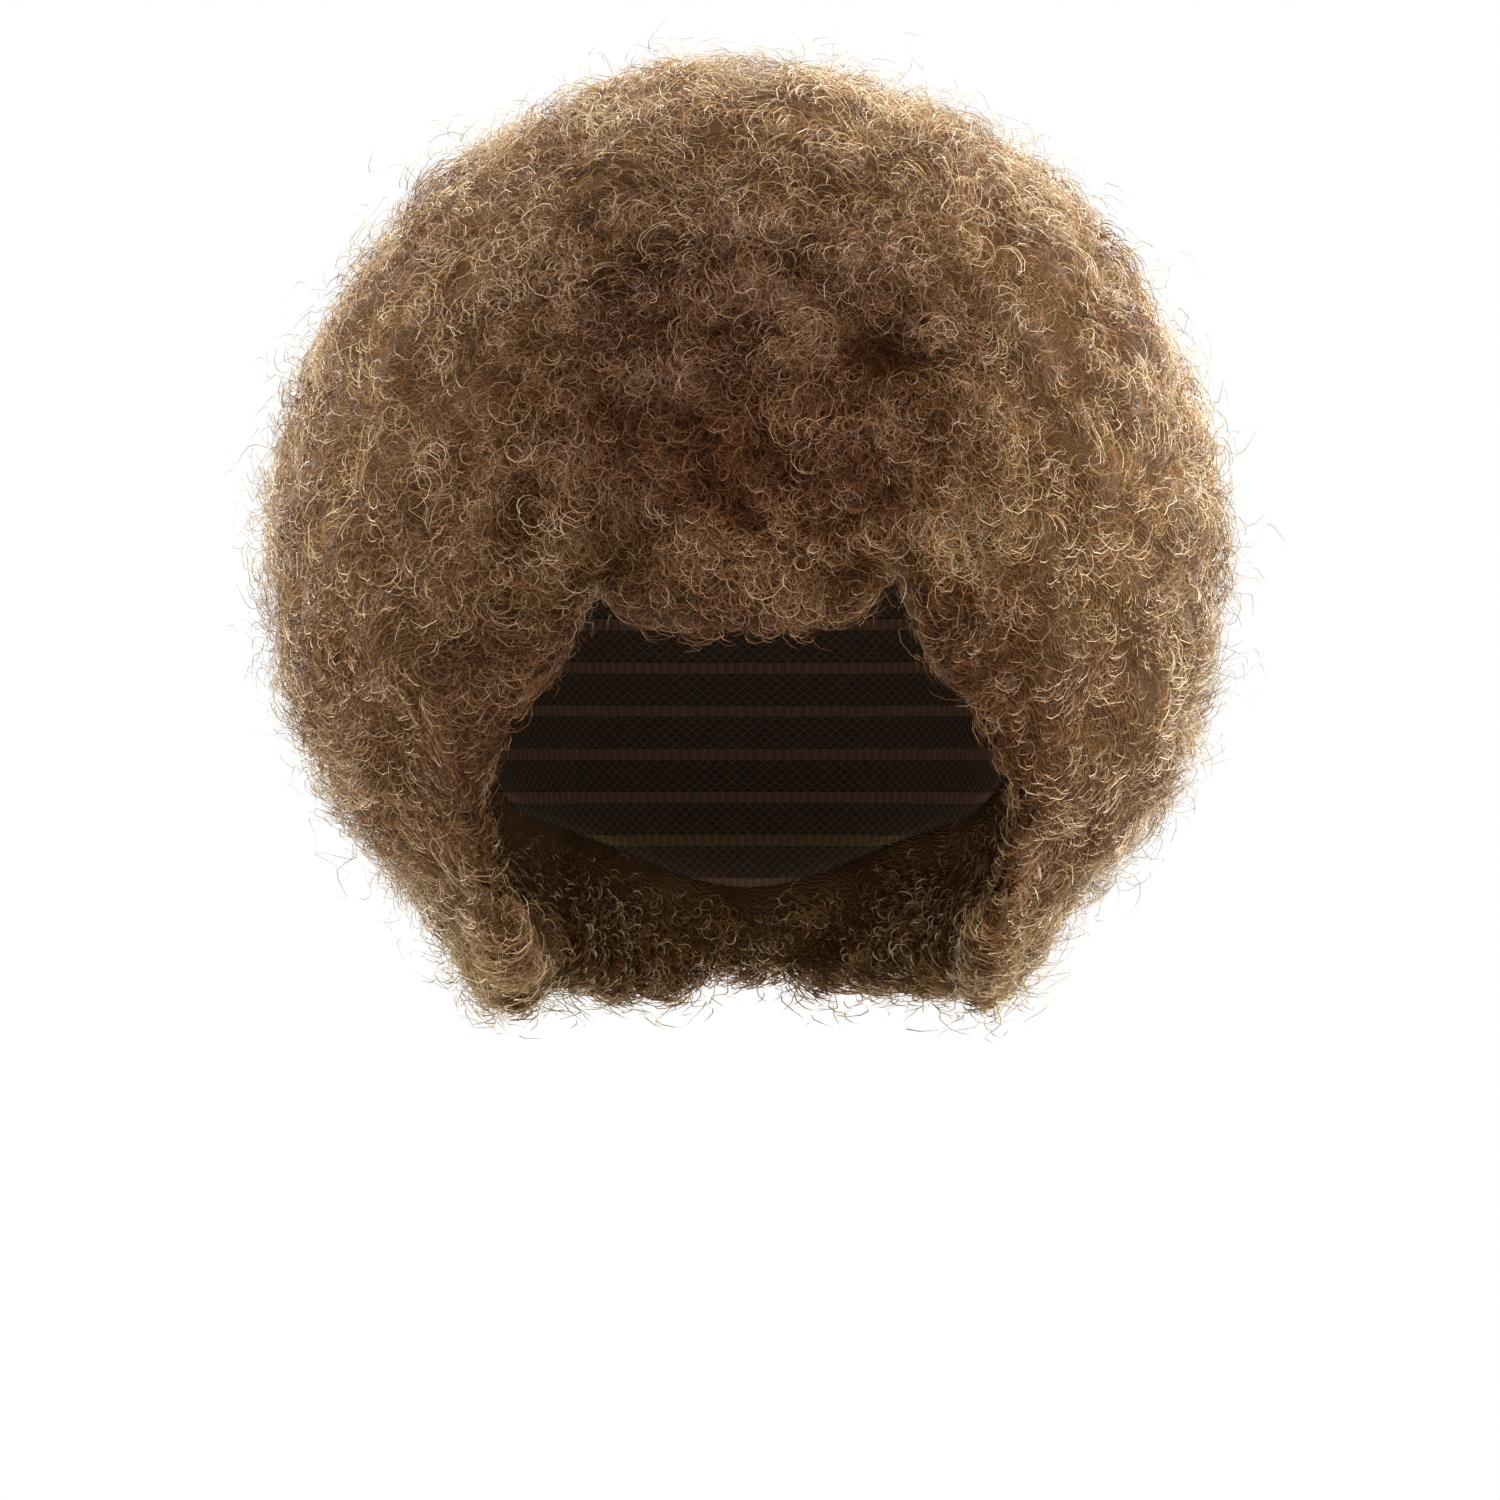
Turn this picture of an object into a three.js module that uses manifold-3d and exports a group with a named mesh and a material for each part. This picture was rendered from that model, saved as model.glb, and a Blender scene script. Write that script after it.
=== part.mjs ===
// Afro wig: a stretch-net cap that fits the head, with short curled hair sewn on all round it.
// Millimetres, +Z up. The wearer faces -Y, and +X is the wearer's left.
// The origin is the inside top of the cap, where the crown of the head meets it.
import * as THREE from "three";
import { ConvexHull } from "three/addons/math/ConvexHull.js";
import { mergeVertices } from "three/addons/utils/BufferGeometryUtils.js";
import Module from "manifold-3d";

const wasm = await Module();
wasm.setup();

// Driving sizes
const CAP_WALL = 1.6; // net and weft rows together
const CAP_ROWS = 7; // rings of facets from the crown to the rim
const FIT_GAP = 0.8; // between the cap and the hair
const PIECE_GAP = 0.4; // between neighbouring hair pieces
const ROUND_FACETS = 32; // facets round the cap
const NECK_ROWS = 4; // rings from the rim down the neck
const SHORT_EDGE = 0.06; // shorter edges are welded away after a join
const SQUARENESS = 2.2; // 2 is an ellipse in plan, and more is squarer

// The head inside the cap, 56 cm round, with the neck below it. Half sizes of each level section.
const HEAD = [
  { z: 0, left: 0, right: 0, front: 0, back: 0 },
  { z: -2.5, left: 22, right: 22, front: 28, back: 28 },
  { z: -14, left: 46, right: 46, front: 55, back: 57 },
  { z: -38, left: 65, right: 65, front: 79, back: 83 },
  { z: -70, left: 75, right: 75, front: 92, back: 97 },
  { z: -100, left: 77, right: 77, front: 96, back: 99 },
  { z: -130, left: 71, right: 71, front: 92, back: 90 },
  { z: -155, left: 59, right: 59, front: 80, back: 77 },
  { z: -185, left: 52, right: 52, front: 66, back: 70 },
  { z: -215, left: 52, right: 52, front: 66, back: 70 },
];

// The outline of the hair, from the top of the crown to the hem at the nape.
const HAIR = [
  { z: 78, left: 0, right: 0, front: 0, back: 0 },
  { z: 76, left: 30, right: 24, front: 30, back: 32 },
  { z: 68, left: 58, right: 48, front: 56, back: 60 },
  { z: 52, left: 82, right: 77, front: 80, back: 86 },
  { z: 25, left: 102, right: 104, front: 102, back: 110 },
  { z: -8, left: 119, right: 122, front: 118, back: 128 },
  { z: -45, left: 130, right: 131, front: 127, back: 140 },
  { z: -85, left: 126, right: 128, front: 122, back: 142 },
  { z: -120, left: 117, right: 116, front: 96, back: 132 },
  { z: -142, left: 98, right: 97, front: 62, back: 114 },
  { z: -162, left: 77, right: 78, front: 40, back: 97 },
  { z: -176, left: 66, right: 68, front: 30, back: 86 },
];

// The cap's rim: forehead, temple, ear tab, arch over the ear and nape. Turn is degrees from the front.
const CAP_RIM = [
  { turn: 0, z: -52 },
  { turn: 30, z: -56 },
  { turn: 62, z: -112 },
  { turn: 74, z: -118 },
  { turn: 96, z: -102 },
  { turn: 130, z: -128 },
  { turn: 180, z: -146 },
];

// The space that the face shows through, as upright arches. Depth runs forwards from the ears.
const FACE_SPACE = [
  { depth: 28, halfWidth: 50, top: -106 },
  { depth: 58, halfWidth: 61, top: -88 },
  { depth: 92, halfWidth: 67, top: -76 },
  { depth: 128, halfWidth: 82, top: -70 },
  { depth: 170, halfWidth: 100, top: -62 },
];
const FACE_SPACE_FLOOR = -230;
const ARCH_STEPS = 10;

// Tufts: rounded locks all over the outline, which meet in creases.
const TUFTS = 160;
const TUFT_LEAN = 6; // how far a tuft's top may sit to one side
const TUFT_RISE = 1.5; // of its top over the outline
const TUFT_SHOULDER = 0.62; // share of the way from its top to a crease that stays full
const SHOULDER_SINK = 1.5; // below the outline
const CREASE_SINK = 7;
const HAIR_CENTRE = new THREE.Vector3(0, 0, -50);

// Hanging locks are drops, with a row for each section from tip to root.
const DROP = [
  { share: 0.04, width: 0.4 },
  { share: 0.25, width: 0.85 },
  { share: 0.6, width: 1 },
  { share: 0.96, width: 0.75 },
];
const DROP_SIDES = 5;

// Locks of the fringe, which falls in three scallops over the brow.
const FRINGE_LOCKS = [
  { x: -61, y: -88, root: -60, tip: -93 },
  { x: -50, y: -99, root: -58, tip: -95 },
  { x: -38, y: -106, root: -56, tip: -89 },
  { x: -21, y: -111, root: -54, tip: -81 },
  { x: -10, y: -113, root: -54, tip: -85 },
  { x: 2, y: -113, root: -54, tip: -86 },
  { x: 13, y: -113, root: -54, tip: -85 },
  { x: 24, y: -111, root: -54, tip: -81 },
  { x: 39, y: -106, root: -56, tip: -89 },
  { x: 51, y: -99, root: -58, tip: -95 },
  { x: 62, y: -88, root: -60, tip: -93 },
];
const FRINGE_RADIUS = 11;

// Locks down the front edge of one side, from the temple to the jaw. The other side mirrors them.
const CHEEK_LOCKS = [
  { x: 74, y: -86, root: -82, tip: -116 },
  { x: 71, y: -75, root: -98, tip: -131 },
  { x: 66, y: -62, root: -112, tip: -146 },
  { x: 62, y: -48, root: -128, tip: -160 },
  { x: 60, y: -34, root: -142, tip: -174 },
];
const CHEEK_RADIUS = 10;

// Locks of the hem, from one jaw round the nape to the other.
const HEM = { locks: 15, fromTurn: 62, rise: 20, leastDrop: 3, mostDrop: 8, radius: 10, setIn: 5 };

// Where one hair piece ends and the next begins
const FRINGE_TURN = 33; // degrees each side of the front
const BACK_TURN = 130;
const CROWN_APEX_Z = -70; // the crown piece is a square pyramid that opens upwards from here
const CROWN_HALF_ANGLE = 42;
const BEYOND = 400; // longer than any piece

// Colours
const HAIR_COLOUR = 0x8a6a42;
const CAP_COLOUR = 0x3a2a1e;

const radians = THREE.MathUtils.degToRad;

// A repeatable number from 0 to 1 for each lock and each use of it.
function scatter(index, use) {
  const wave = Math.sin(index * 12.9898 + use * 78.233) * 43758.5453;
  return wave - Math.floor(wave);
}

// A form holds one smooth profile down each of its four sides.
function formOf(rows) {
  const profile = (side) => new THREE.SplineCurve(rows.map((row) => new THREE.Vector2(row[side], row.z)));
  return { left: profile("left"), right: profile("right"), front: profile("front"), back: profile("back") };
}

function rounded(value) {
  return Math.sign(value) * Math.abs(value) ** (2 / SQUARENESS);
}

// The point of a form at a share of the way down it and a turn from the front, towards the left.
function pointOn(form, down, turn) {
  const across = Math.sin(turn);
  const along = -Math.cos(turn);
  const side = (across < 0 ? form.right : form.left).getPoint(down);
  const end = (along < 0 ? form.front : form.back).getPoint(down);
  return new THREE.Vector3(side.x * rounded(across), end.x * rounded(along), side.y);
}

function outwardOn(form, down, turn) {
  const step = 0.004;
  const upper = Math.max(down - step, step);
  const lower = Math.min(down + step, 1);
  const fall = pointOn(form, lower, turn).sub(pointOn(form, upper, turn));
  const round = pointOn(form, lower, turn + step).sub(pointOn(form, lower, turn - step));
  return fall.cross(round).normalize();
}

// The same point moved out from the form by a wall's thickness.
function pointOff(form, down, turn, distance) {
  return pointOn(form, down, turn).addScaledVector(outwardOn(form, down, turn), distance);
}

// The share of the way down a form at which it reaches a height.
function downTo(form, z) {
  let high = 0;
  let low = 1;
  for (let halving = 0; halving < 30; halving++) {
    const middle = (high + low) / 2;
    if (form.left.getPoint(middle).y > z) high = middle;
    else low = middle;
  }
  return low;
}

// A table's second column at a value of its first, easing from row to row.
function readTable(rows, from, to, value) {
  const next = Math.max(1, rows.findIndex((row) => row[from] >= value));
  const [before, after] = [rows[next - 1], rows[next]];
  const share = (value - before[from]) / (after[from] - before[from]);
  return THREE.MathUtils.lerp(before[to], after[to], THREE.MathUtils.smoothstep(share, 0, 1));
}

// A closed skin over rings of points, with a point at each end.
// Seen from the start, the rings run anticlockwise.
function loft(start, rings, end) {
  const count = rings[0].length;
  const last = 1 + rings.length * count;
  const at = (ring, column) => 1 + ring * count + (column % count);
  const faces = [];
  for (let column = 0; column < count; column++) {
    faces.push(0, at(0, column), at(0, column + 1));
    for (let ring = 1; ring < rings.length; ring++) {
      const [a, b] = [at(ring - 1, column), at(ring - 1, column + 1)];
      const [c, d] = [at(ring, column), at(ring, column + 1)];
      faces.push(a, c, b, b, c, d);
    }
    faces.push(last, at(rings.length - 1, column + 1), at(rings.length - 1, column));
  }
  const geometry = new THREE.BufferGeometry().setFromPoints([start, ...rings.flat(), end]);
  return geometry.setIndex(faces);
}

function solidOf(geometry) {
  const bare = geometry.clone();
  bare.deleteAttribute("normal");
  bare.deleteAttribute("uv");
  const merged = mergeVertices(bare, 1e-3);
  const mesh = new wasm.Mesh({
    numProp: 3,
    vertProperties: new Float32Array(merged.attributes.position.array),
    triVerts: new Uint32Array(merged.index.array),
  });
  return new wasm.Manifold(mesh);
}

// The joins leave slivers where locks cross. The ends of very short edges become one point,
// and faces that then collapse, or fold flat onto each other, go.
function weldedGeometry(solid) {
  const { vertProperties, triVerts } = solid.getMesh();
  const position = new THREE.BufferAttribute(vertProperties, 3);
  const pointAt = (_, k) => new THREE.Vector3().fromBufferAttribute(position, k);
  const points = Array.from({ length: position.count }, pointAt);
  const joined = points.map((_, k) => k);
  const rootOf = (k) => {
    while (joined[k] !== k) k = joined[k];
    return k;
  };
  triVerts.forEach((from, k) => {
    const to = triVerts[k % 3 === 2 ? k - 2 : k + 1];
    if (points[from].distanceTo(points[to]) < SHORT_EDGE) joined[rootOf(from)] = rootOf(to);
  });
  const faces = new Map();
  for (let k = 0; k < triVerts.length; k += 3) {
    const face = Array.from(triVerts.subarray(k, k + 3), rootOf);
    const key = face.toSorted().join();
    if (faces.has(key)) faces.delete(key);
    else if (new Set(face).size === 3) faces.set(key, face);
  }
  const geometry = new THREE.BufferGeometry().setAttribute("position", position);
  geometry.setIndex([...faces.values()].flat());
  geometry.computeVertexNormals();
  return geometry;
}

// A cut can leave a chip of a lock behind, and a hair piece is its one main body.
function mainBody(solid) {
  const bodies = solidOf(weldedGeometry(solid)).decompose();
  return bodies.reduce((best, body) => (body.volume() > best.volume() ? body : best));
}

const turns = Array.from({ length: ROUND_FACETS }, (_, k) => (k / ROUND_FACETS) * 2 * Math.PI);

// Spots spread evenly over the outline by the golden angle, each with its outward direction.
function tuftSpots(hair) {
  const golden = Math.PI * (3 - Math.sqrt(5));
  const downAt = downByArea(hair);
  return Array.from({ length: TUFTS }, (_, index) => {
    const down = downAt((index + 0.5) / TUFTS);
    const turn = (index * golden) % (2 * Math.PI);
    return { point: pointOn(hair, down, turn), outward: outwardOn(hair, down, turn) };
  });
}

// The top of a tuft, which leans to a side of its own.
function tuftTop({ point, outward }, index) {
  const lean = new THREE.Vector3(...[1, 2, 3].map((use) => 2 * scatter(index, use) - 1));
  lean.projectOnPlane(outward).multiplyScalar(TUFT_LEAN);
  return point.clone().add(lean).addScaledVector(outward, TUFT_RISE);
}

// Midway between several spots, sunk below the outline.
function between(spots, sink) {
  const middle = new THREE.Vector3();
  const outward = new THREE.Vector3();
  spots.forEach((spot) => middle.addScaledVector(spot.point, 1 / spots.length));
  spots.forEach((spot) => outward.add(spot.outward));
  return middle.addScaledVector(outward.normalize(), -sink);
}

// Tufted hair: neighbouring spots make triangles, and each tuft is a dome that ends at the creases
// through the middles of the triangles and of their sides.
function tuftedHair(hair) {
  const spots = tuftSpots(hair);
  const directions = spots.map(({ point }) => point.clone().sub(HAIR_CENTRE).normalize());
  const points = spots.map(tuftTop);
  const numbered = new Map();
  const numberOf = (key, place) => {
    if (!numbered.has(key)) numbered.set(key, points.push(place()) - 1);
    return numbered.get(key);
  };
  const creaseOf = (ring) =>
    numberOf(ring.toSorted().join(), () => between(ring.map((k) => spots[k]), CREASE_SINK));
  const shoulderOf = (top, ring) =>
    numberOf(`${top} to ${ring.toSorted().join()}`, () => {
      const edge = between(ring.map((k) => spots[k]), 0);
      const { point, outward } = spots[top];
      return point.clone().lerp(edge, TUFT_SHOULDER).addScaledVector(outward, -SHOULDER_SINK);
    });
  const faces = [];
  new ConvexHull().setFromPoints(directions).faces.forEach(({ edge }) => {
    const corners = [edge, edge.next, edge.next.next].map((side) => directions.indexOf(side.head().point));
    corners.forEach((top, k) => {
      const [next, last] = [corners[(k + 1) % 3], corners[(k + 2) % 3]];
      [[[top, next], corners], [corners, [top, last]]].forEach((rings) => {
        const [crease, nextCrease] = rings.map(creaseOf);
        const [shoulder, nextShoulder] = rings.map((ring) => shoulderOf(top, ring));
        faces.push(top, shoulder, nextShoulder);
        faces.push(shoulder, crease, nextCrease, shoulder, nextCrease, nextShoulder);
      });
    });
  });
  return solidOf(new THREE.BufferGeometry().setFromPoints(points).setIndex(faces));
}

// Rings that follow the cap's rim, from the crown to the rim and then on down the neck.
function headRings(head, distance, rows) {
  const rim = turns.map((turn) => {
    const degrees = THREE.MathUtils.radToDeg(turn);
    return downTo(head, readTable(CAP_RIM, "turn", "z", Math.min(degrees, 360 - degrees)));
  });
  return Array.from({ length: rows }, (_, row) => {
    const overCap = (row + 1) / CAP_ROWS;
    const downNeck = (row + 1 - CAP_ROWS) / NECK_ROWS;
    return turns.map((turn, k) => {
      const down = downNeck < 0 ? rim[k] * overCap : THREE.MathUtils.lerp(rim[k], 1, downNeck);
      return pointOff(head, down, turn, distance);
    });
  });
}

// Cap: an even wall over the head, whose rim rises over the face and the ears.
function capGeometry(head) {
  const outside = headRings(head, CAP_WALL, CAP_ROWS);
  const inside = headRings(head, 0, CAP_ROWS).reverse();
  return loft(new THREE.Vector3(0, 0, CAP_WALL), [...outside, ...inside], new THREE.Vector3(0, 0, 0));
}

// Hollow: the room for the cap and the neck inside the hair.
function hollowForHead(head) {
  const clear = CAP_WALL + FIT_GAP;
  const foot = new THREE.Vector3(0, 0, HEAD.at(-1).z);
  return solidOf(loft(new THREE.Vector3(0, 0, clear), headRings(head, clear, CAP_ROWS + NECK_ROWS), foot));
}

// A lock that hangs straight from its root, swells and ends in a soft tip.
function hangingLock(x, y, root, tip, radius) {
  const section = ({ share, width }) =>
    new THREE.Vector2(radius * width, THREE.MathUtils.lerp(tip, root, share));
  const profile = [new THREE.Vector2(0, tip), ...DROP.map(section), new THREE.Vector2(0, root)];
  return solidOf(new THREE.LatheGeometry(profile, DROP_SIDES).rotateX(Math.PI / 2).translate(x, y, 0));
}

// The share of the way down a form above which a share of its whole skin lies.
function downByArea(form, steps = 200) {
  const areas = [0];
  for (let step = 1; step <= steps; step++) {
    const [upper, lower] = [step - 1, step].map((k) => form.left.getPoint(k / steps));
    areas.push(areas[step - 1] + upper.distanceTo(lower) * (upper.x + lower.x));
  }
  return (share) => areas.findIndex((area) => area >= share * areas[steps]) / steps;
}

function locksOf(rows, radius, side = 1) {
  return rows.map(({ x, y, root, tip }) => hangingLock(side * x, y, root, tip, radius));
}

function hemLocks(hair) {
  return Array.from({ length: HEM.locks }, (_, k) => {
    const turn = radians(THREE.MathUtils.lerp(HEM.fromTurn, 360 - HEM.fromTurn, k / (HEM.locks - 1)));
    const rim = pointOff(hair, 1, turn, -HEM.setIn);
    const drop = THREE.MathUtils.lerp(HEM.leastDrop, HEM.mostDrop, scatter(k, 7));
    return hangingLock(rim.x, rim.y, rim.z + HEM.rise, rim.z - drop, HEM.radius);
  });
}

// Face space: arches lofted from the ears forwards, each anticlockwise seen from behind.
function faceSpace() {
  const arches = FACE_SPACE.map(({ depth, halfWidth, top }) => {
    const shoulder = top - halfWidth;
    const arch = Array.from({ length: ARCH_STEPS + 1 }, (_, k) => {
      const angle = (k / ARCH_STEPS) * Math.PI;
      return new THREE.Vector3(
        halfWidth * rounded(Math.cos(angle)),
        -depth,
        shoulder + halfWidth * rounded(Math.sin(angle)),
      );
    });
    const floor = [-halfWidth, halfWidth].map((x) => new THREE.Vector3(x, -depth, FACE_SPACE_FLOOR));
    return [...arch, ...floor];
  });
  const middle = ({ depth, top }) => new THREE.Vector3(0, -depth, (FACE_SPACE_FLOOR + top) / 2);
  const rings = arches.map((arch) => arch.reverse());
  return solidOf(loft(middle(FACE_SPACE[0]), rings, middle(FACE_SPACE.at(-1))));
}

// All the hair in one: the tufts and the hanging locks, with the room for the face and the head taken out.
function wholeHair(head, hair) {
  const locks = [
    ...locksOf(FRINGE_LOCKS, FRINGE_RADIUS),
    ...locksOf(CHEEK_LOCKS, CHEEK_RADIUS),
    ...locksOf(CHEEK_LOCKS, CHEEK_RADIUS, -1),
    ...hemLocks(hair),
  ];
  const open = tuftedHair(hair).subtract(faceSpace());
  return locks.reduce((joined, lock) => joined.add(lock), open).subtract(hollowForHead(head));
}

// Sector: an upright wedge about the head's axis, between two turns from the front.
function sector(fromDegrees, toDegrees) {
  const middle = radians((fromDegrees + toDegrees) / 2);
  const half = radians((toDegrees - fromDegrees) / 2);
  const setBack = PIECE_GAP / 2 / Math.sin(half);
  const corner = (turn) => new THREE.Vector2(BEYOND * Math.sin(turn), -BEYOND * Math.cos(turn));
  const apex = corner(middle).setLength(setBack);
  const outline = [apex, ...[-half, 0, half].map((turn) => corner(middle + turn).add(apex))];
  const upright = { depth: 2 * BEYOND, bevelEnabled: false };
  return solidOf(new THREE.ExtrudeGeometry(new THREE.Shape(outline), upright).translate(0, 0, -BEYOND));
}

// Crown cut: a square pyramid standing on its point in the middle of the head.
function crownCut(clearance) {
  const radius = BEYOND * Math.tan(radians(CROWN_HALF_ANGLE)) * Math.SQRT2;
  const pyramid = new THREE.ConeGeometry(radius, BEYOND, 4, 1, false, Math.PI / 4);
  pyramid.rotateX(-Math.PI / 2);
  const drop = clearance / Math.sin(radians(CROWN_HALF_ANGLE));
  return solidOf(pyramid.translate(0, 0, CROWN_APEX_Z - drop + BEYOND / 2));
}

const head = formOf(HEAD);
const hair = formOf(HAIR);
const allHair = wholeHair(head, hair);
const belowCrown = allHair.subtract(crownCut(PIECE_GAP));

const hairMaterial = () =>
  new THREE.MeshStandardMaterial({ color: HAIR_COLOUR, roughness: 0.75, metalness: 0, flatShading: true });
const capMaterial = new THREE.MeshStandardMaterial({ color: CAP_COLOUR, roughness: 0.9, metalness: 0 });

function addPiece(group, name, geometry, material) {
  const mesh = new THREE.Mesh(geometry, material);
  mesh.name = name;
  group.add(mesh);
}

const HAIR_PIECES = [
  { name: "crown_hair", solid: allHair.intersect(crownCut(0)) },
  { name: "fringe", solid: belowCrown.intersect(sector(-FRINGE_TURN, FRINGE_TURN)) },
  { name: "side_hair_left", solid: belowCrown.intersect(sector(FRINGE_TURN, BACK_TURN)) },
  { name: "side_hair_right", solid: belowCrown.intersect(sector(-BACK_TURN, -FRINGE_TURN)) },
  { name: "back_hair", solid: belowCrown.intersect(sector(BACK_TURN, 360 - BACK_TURN)) },
];

const wig = new THREE.Group();
addPiece(wig, "wig_cap", capGeometry(head), capMaterial);
HAIR_PIECES.forEach(({ name, solid }) => {
  addPiece(wig, name, weldedGeometry(mainBody(solid)), hairMaterial());
});

export default wig;
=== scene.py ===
import math

import bmesh
import bpy
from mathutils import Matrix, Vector
from mathutils.bvhtree import BVHTree


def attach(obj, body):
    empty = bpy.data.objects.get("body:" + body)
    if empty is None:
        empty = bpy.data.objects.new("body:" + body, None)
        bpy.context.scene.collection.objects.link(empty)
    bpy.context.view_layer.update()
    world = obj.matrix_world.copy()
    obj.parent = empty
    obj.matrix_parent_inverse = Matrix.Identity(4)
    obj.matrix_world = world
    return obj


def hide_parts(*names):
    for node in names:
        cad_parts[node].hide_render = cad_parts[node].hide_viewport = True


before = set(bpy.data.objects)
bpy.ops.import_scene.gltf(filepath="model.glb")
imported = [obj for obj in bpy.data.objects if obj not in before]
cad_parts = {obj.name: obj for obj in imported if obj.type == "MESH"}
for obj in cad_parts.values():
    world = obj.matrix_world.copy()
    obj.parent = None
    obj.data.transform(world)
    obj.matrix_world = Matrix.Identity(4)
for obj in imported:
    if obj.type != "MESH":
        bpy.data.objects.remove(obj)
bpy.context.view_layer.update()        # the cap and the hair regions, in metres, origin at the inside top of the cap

hairMiddle = Vector((0, 0, -0.07))        # every seam between hair regions passes through here


# Node helpers

def pick(sockets, key):
    if isinstance(key, int):
        return sockets[key]
    return next(s for s in sockets if s.enabled and s.name == key)


class Wire:        # a node's output, so that node maths reads as Python
    def __init__(self, nodes, socket):
        self.nodes = nodes
        self.socket = socket

    def __getitem__(self, name):
        return Wire(self.nodes, pick(self.socket.node.outputs, name))

    @property
    def isVector(self):
        return self.socket.type in ("VECTOR", "RGBA")

    def maths(self, operation, *operands):
        isVector = any(isinstance(x, (tuple, Vector)) or getattr(x, "isVector", False) for x in operands)
        kind = "ShaderNodeVectorMath" if isVector else "ShaderNodeMath"
        return self.nodes.add(kind, {"operation": operation}, dict(enumerate(operands)))

    def __add__(self, other):
        return self.maths("ADD", self, other)

    def __radd__(self, other):
        return self.maths("ADD", other, self)

    def __sub__(self, other):
        return self.maths("SUBTRACT", self, other)

    def __rsub__(self, other):
        return self.maths("SUBTRACT", other, self)

    def __mul__(self, other):
        return self.maths("MULTIPLY", self, other)

    def __rmul__(self, other):
        return self.maths("MULTIPLY", other, self)

    def __truediv__(self, other):
        return self.maths("DIVIDE", self, other)

    def __pow__(self, other):
        return self.maths("POWER", self, other)

    def __lt__(self, other):
        return self.maths("LESS_THAN", self, other)

    def larger(self, other):
        return self.maths("MAXIMUM", self, other)

    def angle(self, other):
        return self.maths("ARCTAN2", self, other)

    def sine(self):
        return self.maths("SINE", self)

    def cosine(self):
        return self.maths("COSINE", self)

    def unit(self):
        return self.maths("NORMALIZE", self)

    def cross(self, other):
        return self.maths("CROSS_PRODUCT", self, other)

    def dot(self, other):
        return self.maths("DOT_PRODUCT", self, other)["Value"]

    def length(self):
        return self.maths("LENGTH", self)["Value"]


class Nodes:        # adds nodes to one tree
    def __init__(self, tree):
        self.tree = tree

    def feed(self, socket, value):
        if isinstance(value, Wire):
            self.tree.links.new(value.socket, socket)
        elif socket.type == "VECTOR" and isinstance(value, (int, float)):
            socket.default_value = (value, value, value)
        elif socket.type == "RGBA":
            socket.default_value = (*value[:3], 1)
        else:
            socket.default_value = value

    def add(self, kind, settings=None, sockets=None):
        node = self.tree.nodes.new(kind)
        for key, value in (settings or {}).items():
            if key == "stops":
                fillRamp(node.color_ramp, value)
            else:
                setattr(node, key, value)
        for key, value in (sockets or {}).items():
            self.feed(pick(node.inputs, key), value)
        outputs = [s for s in node.outputs if s.enabled]
        return Wire(self, outputs[0]) if outputs else node

    def soften(self, value, low, high):        # 0 at low, 1 at high, eased between
        return self.add("ShaderNodeMapRange", {"interpolation_type": "SMOOTHSTEP"},
                        {"Value": value, "From Min": low, "From Max": high})

    def blend(self, share, first, second, way="MIX"):        # colours
        return self.add("ShaderNodeMix", {"data_type": "RGBA", "blend_type": way},
                        {0: share, 6: first, 7: second})["Result"]

    def ramp(self, level, stops):
        return self.add("ShaderNodeValToRGB", {"stops": stops}, {"Fac": level})

    def noise(self, place, scale, detail):
        return self.add("ShaderNodeTexNoise", {}, {"Vector": place, "Scale": scale, "Detail": detail})

    def relief(self, height, strength, depth):
        return self.add("ShaderNodeBump", {}, {"Strength": strength, "Distance": depth, "Height": height})

    def value(self, name):        # one of the strands' own attributes, in a material
        return self.add("ShaderNodeAttribute", {"attribute_name": name})["Fac"]

    def read(self, name, form="FLOAT"):        # the same in a geometry tree
        return self.add("GeometryNodeInputNamedAttribute", {"data_type": form}, {"Name": name})

    def store(self, shape, name, form, value, domain="POINT"):
        return self.add("GeometryNodeStoreNamedAttribute", {"data_type": form, "domain": domain},
                        {"Geometry": shape, "Name": name, "Value": value})

    def chance(self, owner, use):        # 0 to 1, the same all along a strand or through a clump
        return self.add("FunctionNodeRandomValue", {"data_type": "FLOAT"},
                        {"Min": 0.0, "Max": 1.0, "ID": owner, "Seed": use})

    def join(self, *parts):
        joined = self.add("GeometryNodeJoinGeometry")
        for part in parts:
            self.tree.links.new(part.socket, joined.socket.node.inputs["Geometry"])
        return joined


def fillRamp(ramp, stops):
    while len(ramp.elements) < len(stops):
        ramp.elements.new(1)
    for element, (place, colour) in zip(ramp.elements, stops):
        element.position = place
        element.color = (*shade(colour), 1)


def shade(hexColour):        # "8a6a42" to linear red, green and blue
    parts = [int(hexColour[k:k + 2], 16) / 255 for k in (0, 2, 4)]
    return tuple(c / 12.92 if c < 0.04045 else ((c + 0.055) / 1.055) ** 2.4 for c in parts)


def newMaterial(name):
    material = bpy.data.materials.new(name)
    material.use_nodes = True
    nodes = Nodes(material.node_tree)
    shader = material.node_tree.nodes["Principled BSDF"]
    return material, nodes, shader


# Hair colours: golden over the top; painted rim light makes the rim paler, and painted shade makes the middle of the
# front browner

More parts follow.
